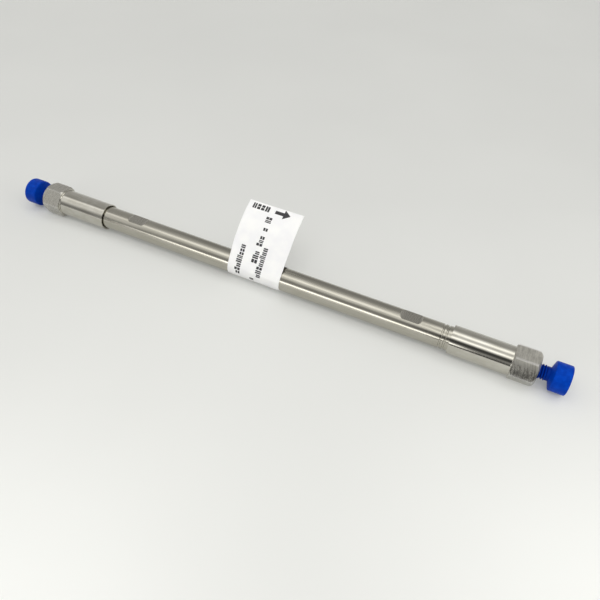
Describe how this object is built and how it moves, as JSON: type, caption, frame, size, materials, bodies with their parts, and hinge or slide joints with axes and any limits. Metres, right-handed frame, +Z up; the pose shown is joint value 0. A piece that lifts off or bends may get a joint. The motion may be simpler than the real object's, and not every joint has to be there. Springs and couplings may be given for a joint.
{
  "type": "hplc column",
  "caption": "Packed stainless chromatography column with screwed end fittings, plastic stop plugs and a flag label, lying on a bench.",
  "frame": {"origin": "on the column's axis, at the middle of the tube", "axes": "+X along the flow from inlet to outlet, +Z up with the outlet hexagon lying on one of its flats"},
  "size_m": [0.202, 0.0206, 0.0223],
  "materials": {
    "tube_steel": "fine-ground stainless steel, bright along its length",
    "fitting_steel": "turned stainless steel, milled hexagon",
    "sintered_steel": "porous sintered steel",
    "seal_plastic": "natural seal plastic",
    "packing": "packed white powder",
    "label_paper": "smooth white label stock",
    "plug_plastic": "satin moulded blue plastic"
  },
  "bodies": {
    "column": {"column_tube": "tube_steel", "packed_bed": "packing", "flow_label": "label_paper"},
    "inlet_fitting": {"inlet_end_fitting": "fitting_steel", "inlet_frit": "sintered_steel", "inlet_frit_ring": "seal_plastic"},
    "outlet_fitting": {"outlet_end_fitting": "fitting_steel", "outlet_frit": "sintered_steel", "outlet_frit_ring": "seal_plastic"},
    "inlet_stopper": {"inlet_plug": "plug_plastic"},
    "outlet_stopper": {"outlet_plug": "plug_plastic"}
  },
  "joints": [
    {"name": "inlet_fitting_unscrew", "type": "slide", "parent": "column", "child": "inlet_fitting", "axis": [-1, 0, 0], "range_m": [0, 0.0105]},
    {"name": "outlet_fitting_unscrew", "type": "slide", "parent": "column", "child": "outlet_fitting", "axis": [1, 0, 0], "range_m": [0, 0.0105]},
    {"name": "inlet_plug_unscrew", "type": "slide", "parent": "inlet_fitting", "child": "inlet_stopper", "axis": [-1, 0, 0], "range_m": [0, 0.01032]},
    {"name": "outlet_plug_unscrew", "type": "slide", "parent": "outlet_fitting", "child": "outlet_stopper", "axis": [1, 0, 0], "range_m": [-0.0004, 0.00992]}
  ]
}
